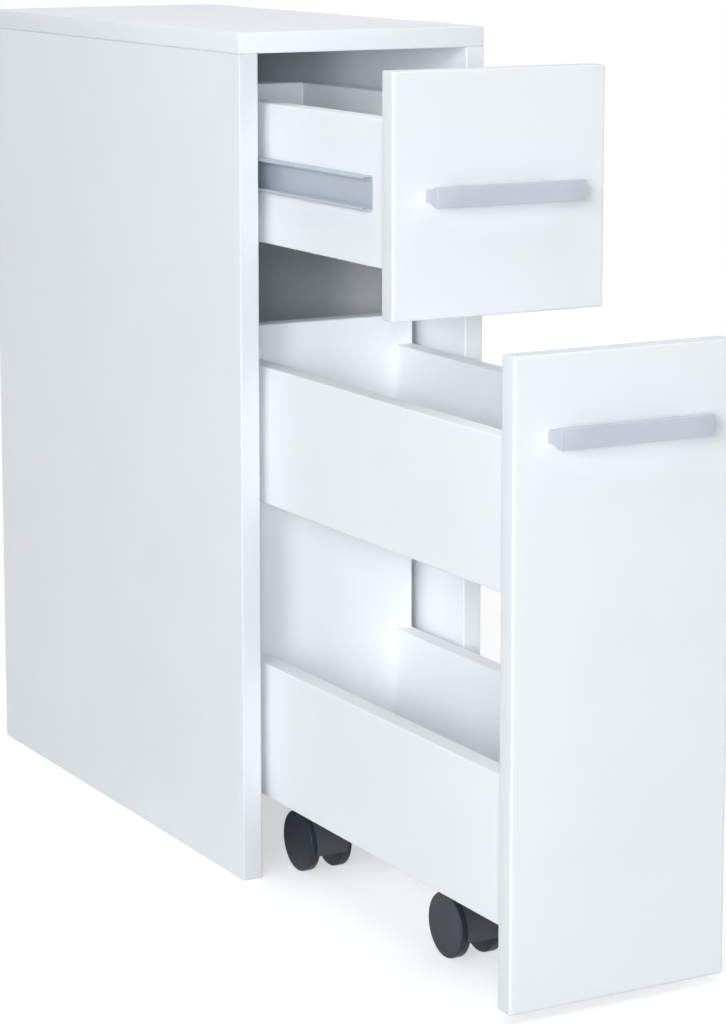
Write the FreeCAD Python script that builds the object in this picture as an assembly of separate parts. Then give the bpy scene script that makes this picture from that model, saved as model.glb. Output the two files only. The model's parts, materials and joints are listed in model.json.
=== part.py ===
import FreeCAD, Part
import math
import os

# Narrow storage organizer: an open-bottomed carcass with a drawer on ball slides above a tall
# pull-out that rolls on swivel casters. Millimetres; X to the right, Y to the back, Z up.
# The origin is at floor level in the middle of the back face, the face that stands at the wall.
# The drawer and the pull-out are stored partly open.

# Carcass
WIDTH = 200.0
DEPTH = 450.0
HEIGHT = 615.0
BOARD = 15.0
BACK_T = 3.0
BACK_INSET = 1.0
CARCASS_R = 1.0
STRETCHER_Z = 20.0
STRETCHER_H = 70.0

# Fronts, set into the mouth of the carcass
SIDE_GAP = 2.5
TOP_GAP = 2.5
MID_GAP = 2.0
FLOOR_GAP = 6.0
DRAWER_FRONT_H = 165.0
FRONT_R = 1.5

# Drawer box
DRAWER_OUT = 187.5
DRAWER_REAR_GAP = 42.0
DRAWER_L = DEPTH - BOARD - DRAWER_REAR_GAP - BACK_T
DRAWER_H = 100.0
DRAWER_LIFT = 31.5
DRAWER_BOTTOM_T = 3.0
GROOVE_LIFT = 10.0
GROOVE_DEPTH = 6.0
GROOVE_PLAY = 0.2
EDGE_R = 1.2

# Ball slides
SLIDE_SPACE = 12.7
SLIDE_INSET = 29.0
SLIDE_REAR_GAP = 53.0
SLIDE_L = DEPTH - BOARD - SLIDE_INSET - SLIDE_REAR_GAP - BACK_T
SLIDE_OUTER_H = 35.0
SLIDE_INNER_H = 23.3
SLIDE_LIP = 3.2
STEEL = 1.2
CAGE_ROOM = 2.5
SLIDE_REVEAL = 2.9
SLIDE_INNER_D = SLIDE_SPACE - STEEL - CAGE_ROOM
SLIDE_OUTER_D = SLIDE_SPACE - SLIDE_REVEAL
CAGE_L = 92.0
CAGE_T = 0.6
BALL_PLAY = 0.32
BALLS_PER_ROW = 5

# Pull-out
PULL_OUT = 340.0
TRAY_GAP = 10.0
TRAY_W = WIDTH - 2 * (BOARD + TRAY_GAP)
TRAY_REAR_GAP = 17.0
TRAY_L = DEPTH - 3 * BOARD - TRAY_REAR_GAP - BACK_T
TRAY_H = 100.0
UPPER_TRAY_DROP = 55.0
REAR_DROP = 32.5
CASTER_H = 57.0
GUIDE_PLAY = 0.3
GUIDE_H = 40.0
GUIDE_R = 1.5
GUIDE_SEAT = 5.0

# Bar handles
HANDLE_SCREW_GAP = 9.3
HANDLE_PITCH = WIDTH - 2 * (2 * BOARD + SLIDE_SPACE + HANDLE_SCREW_GAP)
HANDLE_END = 9.75
HANDLE_L = HANDLE_PITCH + 2 * HANDLE_END
HANDLE_H = 13.7
HANDLE_OUT = 16.2
HANDLE_BAR = 4.5
HANDLE_R = 0.5
FOOT_W = 16.0
FOOT_H = 8.6
FOOT_NECK = 4.5
PULL_HANDLE_DROP = 51.8

# Casters
CASTER_INSET = 38.0
CASTER_FRONT = 128.5
CASTER_REAR = 42.5
WHEEL_R = 22.5
WHEEL_W = 7.5
WHEEL_CAP = 2.0
TRAIL = 13.5
TREAD_R = 1.0
DISH_DEPTH = 0.4
DISH_RIM = 1.5
HOOD_PLAY = 0.4
HOOD_WALL = 2.2
HOOD_SKIRT = 6.5
FENDER_OVER = 3.5
FENDER_T = 1.2
AXLE_R = 3.0
AXLE_BOSS = 3.0
KINGPIN_R = 4.0
SOCKET_WALL = 4.5
SOCKET_FLOOR = 4.0
SOCKET_RISE = 12.0
SOCKET_INSET = 0.35
RUN_FIT = 0.05
PLATE_T = 2.5
PLATE_W = 38.0
PLATE_EDGE = 5.0
PLATE_CORNER = 5.0

# Fasteners
FIT = 0.05
END_PLAY = 0.5
DOWEL_R = 4.0
DOWEL_L = 30.0
DOWEL_SHORT = 10.0
DOWEL_INSET = 60.0
CAM_R = 7.5
CAM_WALL = 3.0
CAM_BACKSET = 34.0
CAM_INSET = 100.0
CAM_BOLT_R = 3.0
CAM_BOLT_IN = 10.0
NAIL_R = 0.8
NAIL_HEAD_R = 2.0
NAIL_HEAD_H = 1.0
NAIL_L = 18.0
NAILS_PER_SIDE = 5
BOX_SCREW_R = 2.5
BOX_SCREW_HEAD_R = 4.75
BOX_SCREW_HEAD_H = 3.0
BOX_SCREW_L = 45.0
WOOD_SCREW_R = 1.75
WOOD_SCREW_HEAD_R = 3.5
WOOD_SCREW_HEAD_H = 1.8
WOOD_SCREW_L = 12.0
HANDLE_SCREW_R = 2.0
HANDLE_SCREW_HEAD_R = 4.0
HANDLE_SCREW_HEAD_H = 2.4
HANDLE_SCREW_GRIP = 8.0

# Places along a joint or member, as shares of its length
PAIR_SHARES = (0.3, 0.8)
STRETCHER_SHARES = (0.25, 0.75)
OUTER_SCREW_SHARES = (0.15, 0.85)
INNER_SCREW_SHARES = (0.57, 0.93)

# Details as shares of the screw head, sheet or handle that they belong to
HEAD_ROUND_SHARE = 0.4
CROSS_ARM_SHARE = 0.5
CROSS_SLOT_SHARE = 0.12
CROSS_DEPTH_SHARE = 0.5
HEX_SHARE = 0.45
HEX_DEPTH_SHARE = 0.7
BEND_SHARE = 0.35
FLARE_OUT_SHARE = 0.62
FLARE_UP_SHARE = 0.28

# Positions that follow from the sizes above
half = WIDTH / 2
inner = half - BOARD
mouth_y = -DEPTH
side_top = HEIGHT - BOARD
front_half = inner - SIDE_GAP
drawer_front_z1 = side_top - TOP_GAP
drawer_front_z0 = drawer_front_z1 - DRAWER_FRONT_H
pull_front_z1 = drawer_front_z0 - MID_GAP
drawer_y = mouth_y + BOARD - DRAWER_OUT
drawer_half = inner - SLIDE_SPACE
drawer_in = drawer_half - BOARD
drawer_back_y = drawer_y + DRAWER_L - BOARD
drawer_z0 = drawer_front_z0 + DRAWER_LIFT
drawer_z1 = drawer_z0 + DRAWER_H
slide_z = (drawer_z0 + drawer_z1) / 2
outer_slide_y = mouth_y + BOARD + SLIDE_INSET
inner_slide_y = drawer_y + SLIDE_INSET
ball_z = (SLIDE_INNER_H / 2 + SLIDE_OUTER_H / 2 - STEEL) / 2
ball_r = (SLIDE_OUTER_H / 2 - STEEL - SLIDE_INNER_H / 2) / 2 - BALL_PLAY
race_start = SLIDE_SPACE - SLIDE_INNER_D
cage_web_x = (STEEL + race_start - CAGE_T) / 2
cage_y = outer_slide_y + (SLIDE_L - DRAWER_OUT - CAGE_L) / 2
pull_y = mouth_y + BOARD - PULL_OUT
rear_y = pull_y + TRAY_L
tray_half = TRAY_W / 2
tray_in = tray_half - BOARD
upper_tray_z = pull_front_z1 - UPPER_TRAY_DROP - TRAY_H
caster_x = tray_half - CASTER_INSET
caster_y = {"front": pull_y + CASTER_FRONT, "rear": rear_y - CASTER_REAR}
plate_z = CASTER_H - PLATE_T
plate_pitch = PLATE_W - 2 * PLATE_EDGE
socket_z = WHEEL_R + SOCKET_RISE
kingpin_l = plate_z - socket_z - SOCKET_FLOOR
hood_x = KINGPIN_R + SOCKET_WALL + SOCKET_INSET
wheel_in = hood_x + HOOD_PLAY
wheel_out = wheel_in + WHEEL_W

X = FreeCAD.Vector(1, 0, 0)
Y = FreeCAD.Vector(0, 1, 0)
Z = FreeCAD.Vector(0, 0, 1)
nodes = {}


def vec(x, y, z):
    return FreeCAD.Vector(x, y, z)


def box(x0, x1, y0, y1, z0, z1):
    return Part.makeBox(x1 - x0, y1 - y0, z1 - z0, vec(x0, y0, z0))


def rod(start, direction, radius, length):
    return Part.makeCylinder(radius, length, start, direction)


def along(edge, axis):
    return abs(edge.tangentAt(edge.FirstParameter).dot(axis)) > 0.99


def rounded(shape, radius, *axes):
    edges = [edge for edge in shape.Edges if any(along(edge, axis) for axis in axes)]
    return shape.makeFillet(radius, edges)


def mirrored(shape):
    return shape.mirror(vec(0, 0, 0), X)


def aimed(shape, start, direction):
    """Turns a shape built along Z so that it runs along the direction from the start point."""
    shape.Placement = FreeCAD.Placement(start, FreeCAD.Rotation(Z, direction))
    return shape


def peg(joint, direction, radius=DOWEL_R, play=0.0):
    """A dowel across a joint, its long end on the side that the direction points to."""
    start = joint - direction * (DOWEL_SHORT + play)
    return rod(start, direction, radius, DOWEL_L + 2 * play)


def peg_hole(joint, direction):
    return peg(joint, direction, DOWEL_R + FIT, END_PLAY)


def raised_screw(seat, direction, head_r, head_h, shank_r, shank_l):
    """A round-headed screw with a cross recess; its head stands on the seat point."""
    head = Part.makeCylinder(head_r, head_h, vec(0, 0, -head_h))
    rim = [edge for edge in head.Edges if edge.BoundBox.ZMax < -head_h / 2]
    head = head.makeFillet(head_h * HEAD_ROUND_SHARE, rim)
    arm = head_r * CROSS_ARM_SHARE
    slot = head_r * CROSS_SLOT_SHARE
    floor = head_h * (CROSS_DEPTH_SHARE - 1)
    for a, b in ((arm, slot), (slot, arm)):
        head = head.cut(box(-a, a, -b, b, -head_h, floor))
    return aimed(head.fuse(Part.makeCylinder(shank_r, shank_l)).removeSplitter(), seat, direction)


def wood_screw(seat, direction):
    return raised_screw(seat, direction, WOOD_SCREW_HEAD_R, WOOD_SCREW_HEAD_H, WOOD_SCREW_R, WOOD_SCREW_L)


def wood_screw_hole(seat, direction):
    return rod(seat, direction, WOOD_SCREW_R + FIT, WOOD_SCREW_L + END_PLAY)


def sunk_screw(mouth, direction, head_r, head_h, shank_r, length):
    """A screw whose hexagon-socket head is level with the surface at the mouth point."""
    reach = head_r * HEX_SHARE
    turns = [math.radians(60 * i) for i in range(7)]
    outline = [vec(reach * math.cos(a), reach * math.sin(a), 0) for a in turns]
    socket = Part.Face(Part.makePolygon(outline)).extrude(vec(0, 0, head_h * HEX_DEPTH_SHARE))
    head = Part.makeCylinder(head_r, head_h).cut(socket)
    shank = Part.makeCylinder(shank_r, length - head_h, vec(0, 0, head_h))
    return aimed(head.fuse(shank).removeSplitter(), mouth, direction)


def sunk_hole(mouth, direction, head_r, head_h, shank_r, length):
    head = Part.makeCylinder(head_r + FIT, head_h)
    shank = Part.makeCylinder(shank_r + FIT, length + END_PLAY)
    return aimed(head.fuse(shank), mouth, direction)


def channel(height, depth, lip, sheet, length):
    """A rolled channel open to +X with its web at X 0, centred in Z and running along Y."""
    h = height / 2
    turn = [(depth, -h)]
    if lip:
        turn += [(depth, lip - h), (depth - sheet, lip - h), (depth - sheet, sheet - h)]
    else:
        turn += [(depth, sheet - h)]
    low = [(0, -h)] + turn + [(sheet, sheet - h)]
    points = low + [(x, -z) for x, z in reversed(low)] + [low[0]]
    profile = Part.Face(Part.makePolygon([vec(x, 0, z) for x, z in points]))
    return rounded(profile.extrude(vec(0, length, 0)), sheet * BEND_SHARE, Y)


def handle(face_y, z):
    """A bar on two flared feet, standing on a front face that looks to -Y."""
    neck = vec(0, -FOOT_NECK, FOOT_H / 2)
    flare = vec(0, HANDLE_BAR - HANDLE_OUT, HANDLE_H / 2)
    bend_y = neck.y + (flare.y - neck.y) * FLARE_OUT_SHARE
    bend = vec(0, bend_y, neck.z + (flare.z - neck.z) * FLARE_UP_SHARE)
    low = [vec(p.x, p.y, -p.z) for p in (neck, bend, flare)]
    top = vec(0, 0, FOOT_H / 2)
    bottom = vec(0, 0, -FOOT_H / 2)
    outline = Part.Wire([
        Part.makeLine(bottom, top),
        Part.makeLine(top, neck),
        Part.Arc(neck, bend, flare).toShape(),
        Part.makeLine(flare, low[2]),
        Part.Arc(low[2], low[1], low[0]).toShape(),
        Part.makeLine(low[0], bottom),
    ])
    foot = Part.Face(outline).extrude(vec(FOOT_W, 0, 0))
    end = HANDLE_L / 2
    bar = box(-end, end, -HANDLE_OUT, HANDLE_BAR - HANDLE_OUT, -HANDLE_H / 2, HANDLE_H / 2)
    feet = [foot.translated(vec(-end, 0, 0)), foot.translated(vec(end - FOOT_W, 0, 0))]
    grip = bar.fuse(feet).removeSplitter()
    rim = [edge for edge in grip.Edges if edge.BoundBox.YMax < HANDLE_R - HANDLE_OUT]
    grip = grip.makeFillet(HANDLE_R, rim)
    for x in (-HANDLE_PITCH / 2, HANDLE_PITCH / 2):
        grip = grip.cut(rod(vec(x, 0, 0), -Y, HANDLE_SCREW_R + FIT, HANDLE_SCREW_GRIP + END_PLAY))
    return grip.translated(vec(0, face_y, z))


def handle_screws(seat_y, z):
    return [
        raised_screw(vec(x, seat_y, z), -Y, HANDLE_SCREW_HEAD_R, HANDLE_SCREW_HEAD_H,
                     HANDLE_SCREW_R, BOARD + HANDLE_SCREW_GRIP)
        for x in (-HANDLE_PITCH / 2, HANDLE_PITCH / 2)
    ]


def handle_holes(seat_y, z):
    return [
        rod(vec(x, seat_y, z), -Y, HANDLE_SCREW_R + FIT, BOARD)
        for x in (-HANDLE_PITCH / 2, HANDLE_PITCH / 2)
    ]


# Carcass: two sides on the floor, a top lying on them, a nailed back and a low rear stretcher
carcass_dowels = []
carcass_holes = []
cam_discs = []
cam_bolts = []
nails = []
cam_depth = BOARD - CAM_WALL
stretcher_y = -BACK_T - BOARD / 2
nail_low = STRETCHER_Z + STRETCHER_H / 2
nail_step = (side_top - DOWEL_INSET - nail_low) / (NAILS_PER_SIDE - 1)
for s in (-1, 1):
    edge_x = s * (half - BOARD / 2)
    for y in (mouth_y + DOWEL_INSET, -BACK_T - DOWEL_INSET):
        joint = vec(edge_x, y, side_top)
        carcass_dowels.append(peg(joint, -Z))
        carcass_holes.append(peg_hole(joint, -Z))
    for y in (mouth_y + CAM_INSET, -BACK_T - CAM_INSET):
        centre = vec(edge_x, y, side_top - CAM_BACKSET)
        reach = CAM_BACKSET + CAM_BOLT_IN
        bolt_hole = rod(centre, Z, CAM_BOLT_R + FIT, reach + END_PLAY)
        face = vec(s * inner, y, centre.z)
        cam_discs.append(rod(face, X * s, CAM_R, cam_depth).cut(bolt_hole))
        cam_bolts.append(rod(centre, Z, CAM_BOLT_R, reach))
        carcass_holes.append(bolt_hole)
        carcass_holes.append(rod(face, X * s, CAM_R + FIT, cam_depth + END_PLAY))
    for share in STRETCHER_SHARES:
        joint = vec(s * inner, stretcher_y, STRETCHER_Z + STRETCHER_H * share)
        carcass_dowels.append(peg(joint, X * -s))
        carcass_holes.append(peg_hole(joint, X * -s))
    for i in range(NAILS_PER_SIDE):
        spot = vec(edge_x, 0, nail_low + nail_step * i)
        nail = rod(spot, -Y, NAIL_HEAD_R, NAIL_HEAD_H).fuse(rod(spot, -Y, NAIL_R, NAIL_L))
        nails.append(nail.removeSplitter())
        carcass_holes.append(sunk_hole(spot, -Y, NAIL_HEAD_R, NAIL_HEAD_H, NAIL_R, NAIL_L))

slide_screws = []
slide_holes = []
for share in OUTER_SCREW_SHARES:
    mouth = vec(STEEL - inner, outer_slide_y + SLIDE_L * share, slide_z)
    spec = (mouth, -X, WOOD_SCREW_HEAD_R, STEEL, WOOD_SCREW_R, WOOD_SCREW_L)
    slide_screws.append(sunk_screw(*spec))
    slide_holes.append(sunk_hole(*spec))
outer_slide = channel(SLIDE_OUTER_H, SLIDE_OUTER_D, 0, STEEL, SLIDE_L)
outer_slide = outer_slide.translated(vec(-inner, outer_slide_y, slide_z)).cut(slide_holes)
carcass_holes += slide_holes + [mirrored(hole) for hole in slide_holes]

side = rounded(box(-half, -inner, mouth_y, -BACK_T, 0, side_top), CARCASS_R, X, Y, Z)
top = rounded(box(-half, half, mouth_y, 0, side_top, HEIGHT), CARCASS_R, X, Y, Z)
back = box(BACK_INSET - half, half - BACK_INSET, -BACK_T, 0, 0, side_top)
stretcher_top = STRETCHER_Z + STRETCHER_H
stretcher = box(-inner, inner, -BACK_T - BOARD, -BACK_T, STRETCHER_Z, stretcher_top)
stretcher = rounded(stretcher, CARCASS_R, X)
nodes["side_left"] = side.cut(carcass_holes)
nodes["side_right"] = mirrored(side).cut(carcass_holes)
nodes["top"] = top.cut(carcass_holes)
nodes["back"] = back.cut(carcass_holes)
nodes["stretcher"] = stretcher.cut(carcass_holes)
nodes["carcass_dowels"] = Part.makeCompound(carcass_dowels)
nodes["cam_discs"] = Part.makeCompound(cam_discs)
nodes["cam_bolts"] = Part.makeCompound(cam_bolts)
nodes["back_nails"] = Part.makeCompound(nails)
nodes["slide_outer_left"] = outer_slide
nodes["slide_outer_right"] = mirrored(outer_slide)
nodes["slide_outer_screws"] = Part.makeCompound(slide_screws + [mirrored(s) for s in slide_screws])

# Ball cages, which follow the drawer at half its speed
cage_depth = SLIDE_OUTER_D - cage_web_x - CAGE_T
cage = channel(2 * ball_z + CAGE_T, cage_depth, 0, CAGE_T, CAGE_L)
cage = cage.translated(vec(cage_web_x - inner, cage_y, slide_z))
ball_x = (race_start + SLIDE_OUTER_D) / 2 - inner
balls = []
for i in range(BALLS_PER_ROW):
    y = cage_y + CAGE_L * (i + 0.5) / BALLS_PER_ROW
    seat = vec(ball_x, y, slide_z - ball_z - 2 * ball_r)
    cage = cage.cut(rod(seat, Z, ball_r + RUN_FIT, 2 * ball_z + 4 * ball_r))
    for z in (slide_z - ball_z, slide_z + ball_z):
        balls.append(Part.makeSphere(ball_r, vec(ball_x, y, z)))
nodes["ball_cage_left"] = cage
nodes["ball_cage_right"] = mirrored(cage)
nodes["balls_left"] = Part.makeCompound(balls)
nodes["balls_right"] = Part.makeCompound([mirrored(ball) for ball in balls])

# Drawer: a front, two sides, a back between them and a thin bottom in grooves
drawer_dowels = []
drawer_holes = []
box_screws = []
for s in (-1, 1):
    for share in PAIR_SHARES:
        z = drawer_z0 + DRAWER_H * share
        joint = vec(s * (drawer_half - BOARD / 2), drawer_y, z)
        drawer_dowels.append(peg(joint, Y))
        drawer_holes.append(peg_hole(joint, Y))
        mouth = vec(s * drawer_half, drawer_back_y + BOARD / 2, z)
        spec = (mouth, X * -s, BOX_SCREW_HEAD_R, BOX_SCREW_HEAD_H, BOX_SCREW_R, BOX_SCREW_L)
        box_screws.append(sunk_screw(*spec))
        drawer_holes.append(sunk_hole(*spec))
inner_screws = []
inner_holes = []
for share in INNER_SCREW_SHARES:
    seat = vec(-drawer_half - STEEL, inner_slide_y + SLIDE_L * share, slide_z)
    inner_screws.append(wood_screw(seat, X))
    inner_holes.append(wood_screw_hole(seat, X))
drawer_holes += inner_holes + [mirrored(hole) for hole in inner_holes]
inner_slide = mirrored(channel(SLIDE_INNER_H, SLIDE_INNER_D, SLIDE_LIP, STEEL, SLIDE_L))
inner_slide = inner_slide.translated(vec(-drawer_half, inner_slide_y, slide_z)).cut(inner_holes)

groove_x = drawer_in + GROOVE_DEPTH
groove_y0 = drawer_y - GROOVE_DEPTH
groove_y1 = drawer_back_y + GROOVE_DEPTH
groove_z = drawer_z0 + GROOVE_LIFT
groove_top = groove_z + DRAWER_BOTTOM_T + GROOVE_PLAY
drawer_holes.append(box(-groove_x, groove_x, groove_y0, groove_y1, groove_z, groove_top))
drawer_handle_z = (drawer_front_z0 + drawer_front_z1) / 2
drawer_holes += handle_holes(drawer_y, drawer_handle_z)
drawer_face = drawer_y - BOARD
front = box(-front_half, front_half, drawer_face, drawer_y, drawer_front_z0, drawer_front_z1)
wall = box(-drawer_half, -drawer_in, drawer_y, drawer_y + DRAWER_L, drawer_z0, drawer_z1)
wall = rounded(wall, EDGE_R, Y)
rear = box(-drawer_in, drawer_in, drawer_back_y, drawer_back_y + BOARD, drawer_z0, drawer_z1)
nodes["drawer_front"] = rounded(front, FRONT_R, X, Y, Z).cut(drawer_holes)
nodes["drawer_side_left"] = wall.cut(drawer_holes)
nodes["drawer_side_right"] = mirrored(wall).cut(drawer_holes)
nodes["drawer_back"] = rounded(rear, EDGE_R, X).cut(drawer_holes)
nodes["drawer_bottom"] = box(END_PLAY - groove_x, groove_x - END_PLAY, groove_y0 + END_PLAY,
                             groove_y1 - END_PLAY, groove_z, groove_z + DRAWER_BOTTOM_T)
nodes["drawer_handle"] = handle(drawer_face, drawer_handle_z)
nodes["drawer_handle_screws"] = Part.makeCompound(handle_screws(drawer_y, drawer_handle_z))
nodes["drawer_dowels"] = Part.makeCompound(drawer_dowels)
nodes["drawer_box_screws"] = Part.makeCompound(box_screws)
nodes["slide_inner_left"] = inner_slide
nodes["slide_inner_right"] = mirrored(inner_slide)
nodes["slide_inner_screws"] = Part.makeCompound(inner_screws + [mirrored(s) for s in inner_screws])

# Pull-out: a tall front and a rear panel joined by an upper and a lower tray
pull_dowels = []
pull_holes = []
rear_screws = []
tray_levels = {"lower": CASTER_H, "upper": upper_tray_z}
bottom_dowels_y = (pull_y + CASTER_FRONT / 2, (caster_y["front"] + caster_y["rear"]) / 2)
for z0 in tray_levels.values():
    for s in (-1, 1):
        board_x = s * (tray_half - BOARD / 2)
        for share in PAIR_SHARES:
            z = z0 + TRAY_H * share
            joint = vec(board_x, pull_y, z)
            pull_dowels.append(peg(joint, Y))
            pull_holes.append(peg_hole(joint, Y))
            spec = (vec(board_x, rear_y + BOARD, z), -Y, BOX_SCREW_HEAD_R, BOX_SCREW_HEAD_H,
                    BOX_SCREW_R, BOX_SCREW_L)
            rear_screws.append(sunk_screw(*spec))
            pull_holes.append(sunk_hole(*spec))
        for y in bottom_dowels_y:
            joint = vec(s * tray_in, y, z0 + BOARD / 2)
            pull_dowels.append(peg(joint, X * -s))
            pull_holes.append(peg_hole(joint, X * -s))

# Guide blocks on the rear panel's edges keep the pull-out straight between the carcass sides
guides = []
wood_screws = []
for z0 in tray_levels.values():
    middle = z0 + TRAY_H / 2
    low = middle - GUIDE_H / 2
    guide = box(GUIDE_PLAY - inner, -tray_half, rear_y, rear_y + BOARD, low, low + GUIDE_H)
    guide = rounded(guide, GUIDE_R, X)
    seat = vec(-tray_half - GUIDE_SEAT, rear_y + BOARD / 2, middle)
    hole = wood_screw_hole(seat, X)
    fixing = wood_screw(seat, X)
    guide = guide.cut([hole, rod(seat, -X, WOOD_SCREW_HEAD_R + END_PLAY, inner)])
    guides += [guide, mirrored(guide)]
    wood_screws += [fixing, mirrored(fixing)]
    pull_holes += [hole, mirrored(hole)]

caster_places = {}
for row, y in caster_y.items():
    caster_places[row + "_left"] = vec(-caster_x, y, 0)
    caster_places[row + "_right"] = vec(caster_x, y, 0)

plates = []
for place in caster_places.values():
    edge = PLATE_W / 2
    plate = rounded(box(-edge, edge, -edge, edge, plate_z, CASTER_H), PLATE_CORNER, Z)
    plate = plate.fuse(rod(vec(0, 0, plate_z), -Z, KINGPIN_R, kingpin_l)).removeSplitter()
    for x in (-plate_pitch / 2, plate_pitch / 2):
        for y in (-plate_pitch / 2, plate_pitch / 2):
            seat = vec(x, y, plate_z)
            hole = wood_screw_hole(seat, Z)
            plate = plate.cut(hole)
            pull_holes.append(hole.translated(place))
            wood_screws.append(wood_screw(seat + place, Z))
    plates.append(plate.translated(place))

pull_handle_z = pull_front_z1 - PULL_HANDLE_DROP
pull_holes += handle_holes(pull_y, pull_handle_z)
pull_face = pull_y - BOARD
front = box(-front_half, front_half, pull_face, pull_y, FLOOR_GAP, pull_front_z1)
rear_top = pull_front_z1 - REAR_DROP
rear = box(-tray_half, tray_half, rear_y, rear_y + BOARD, CASTER_H, rear_top)
nodes["pullout_front"] = rounded(front, FRONT_R, X, Y, Z).cut(pull_holes)
nodes["pullout_rear"] = rounded(rear, EDGE_R, X, Y, Z).cut(pull_holes)
for level, z0 in tray_levels.items():
    wall = rounded(box(-tray_half, -tray_in, pull_y, rear_y, z0, z0 + TRAY_H), EDGE_R, Y)
    nodes[level + "_tray_left"] = wall.cut(pull_holes)
    nodes[level + "_tray_right"] = mirrored(wall).cut(pull_holes)
    floor = box(-tray_in, tray_in, pull_y, rear_y, z0, z0 + BOARD)
    nodes[level + "_tray_bottom"] = floor.cut(pull_holes)
nodes["pullout_handle"] = handle(pull_face, pull_handle_z)
nodes["pullout_handle_screws"] = Part.makeCompound(handle_screws(pull_y, pull_handle_z))
nodes["pullout_dowels"] = Part.makeCompound(pull_dowels)
nodes["pullout_rear_screws"] = Part.makeCompound(rear_screws)
nodes["caster_plates"] = Part.makeCompound(plates)
nodes["pullout_guides"] = Part.makeCompound(guides)
nodes["pullout_wood_screws"] = Part.makeCompound(wood_screws)

# Twin-wheel casters: a hood that swivels on the plate's pin and reaches over two wheels on one axle
axle_at = vec(0, -TRAIL, WHEEL_R)
wheel_room = WHEEL_R + HOOD_PLAY
hood_r = wheel_room + FENDER_T
fender_x = wheel_in + FENDER_OVER
hood = rod(axle_at - X * fender_x, X, hood_r, 2 * fender_x)
for side_x in (-X, X):
    hood = hood.cut(rod(axle_at + side_x * hood_x, side_x, wheel_room, WHEEL_W))
pocket_x = hood_x - HOOD_WALL
hood = hood.cut(rod(axle_at - X * pocket_x, X, hood_r - HOOD_WALL, 2 * pocket_x))
hood = hood.cut(box(-WIDTH, WIDTH, -DEPTH, DEPTH, -WHEEL_R, WHEEL_R - HOOD_SKIRT))
hood = hood.fuse([
    rod(axle_at - X * hood_x, X, AXLE_R + AXLE_BOSS, 2 * hood_x),
    rod(vec(0, 0, plate_z), -Z, KINGPIN_R + SOCKET_WALL, plate_z - socket_z),
]).removeSplitter()
hood = hood.cut(rod(axle_at - X * wheel_out, X, AXLE_R + FIT, 2 * wheel_out))
hood = hood.cut(rod(vec(0, 0, plate_z), -Z, KINGPIN_R + RUN_FIT, kingpin_l + END_PLAY))
wheel_bore = WHEEL_W - WHEEL_CAP
axle_x = wheel_in + wheel_bore - END_PLAY
axle = rod(axle_at - X * axle_x, X, AXLE_R, 2 * axle_x)
wheel = rod(axle_at + X * wheel_in, X, WHEEL_R, WHEEL_W)
wheel = wheel.makeFillet(TREAD_R, [edge for edge in wheel.Edges if edge.Closed])
dish_r = WHEEL_R - DISH_RIM
ball = (dish_r ** 2 + DISH_DEPTH ** 2) / (2 * DISH_DEPTH)
wheel = wheel.cut(Part.makeSphere(ball, axle_at + X * (wheel_out - DISH_DEPTH + ball)))
wheel = wheel.cut(rod(axle_at + X * wheel_in, X, AXLE_R + RUN_FIT, wheel_bore))
for name, place in caster_places.items():
    nodes["hood_" + name] = hood.translated(place)
    nodes["axle_" + name] = axle.translated(place)
    nodes["wheel_" + name + "_r"] = wheel.translated(place)
    nodes["wheel_" + name + "_l"] = mirrored(wheel).translated(place)

os.makedirs("parts", exist_ok=True)
for name, shape in nodes.items():
    shape.exportStep("parts/" + name + ".step")
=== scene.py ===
"""Dresses the narrow storage organizer and sets it in a plain studio.

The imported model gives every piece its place. The classes below build the banded boards, the bar
handles, the rolled slides and the turned casters on it, give each surface its finish, and set up
the floor, the lamps and the camera. Lengths are in metres.
"""

import json
import logging
import math
from dataclasses import dataclass, replace
from enum import Enum

import bmesh
import bpy
from mathutils import Euler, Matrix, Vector


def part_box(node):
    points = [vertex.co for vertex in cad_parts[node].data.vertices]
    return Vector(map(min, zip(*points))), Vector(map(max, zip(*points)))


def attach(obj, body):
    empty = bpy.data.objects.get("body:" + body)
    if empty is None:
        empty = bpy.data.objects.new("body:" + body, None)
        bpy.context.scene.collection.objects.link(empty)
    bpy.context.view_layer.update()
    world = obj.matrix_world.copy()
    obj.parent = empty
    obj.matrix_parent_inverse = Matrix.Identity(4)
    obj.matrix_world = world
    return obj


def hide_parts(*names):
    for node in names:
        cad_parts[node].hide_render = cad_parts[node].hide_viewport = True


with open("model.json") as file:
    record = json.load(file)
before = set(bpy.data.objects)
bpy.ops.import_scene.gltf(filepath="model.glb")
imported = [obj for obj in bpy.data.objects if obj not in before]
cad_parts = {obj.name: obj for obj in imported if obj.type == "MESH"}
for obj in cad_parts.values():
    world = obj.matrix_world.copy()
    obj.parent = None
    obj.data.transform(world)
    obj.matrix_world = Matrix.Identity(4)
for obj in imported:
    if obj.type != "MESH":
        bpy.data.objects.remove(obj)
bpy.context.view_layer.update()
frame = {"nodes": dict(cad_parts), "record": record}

LOG = logging.getLogger("organizer")
MM = 0.001

Colour = tuple[float, float, float]
Stretch = tuple[float, float, float]
Ring = list[Vector]

PLAIN_LIGHT: Colour = (1.0, 1.0, 1.0)
EVEN: Stretch = (1.0, 1.0, 1.0)
ALONG_X: Stretch = (60.0, 1.0, 1.0)
ALONG_Y: Stretch = (1.0, 60.0, 1.0)
QUARTER_TURN = 90.0
NOISE_LOW = 0.3
NOISE_HIGH = 0.7
MIX_FIRST = 6
MIX_SECOND = 7
MIX_COLOUR = 2


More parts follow.
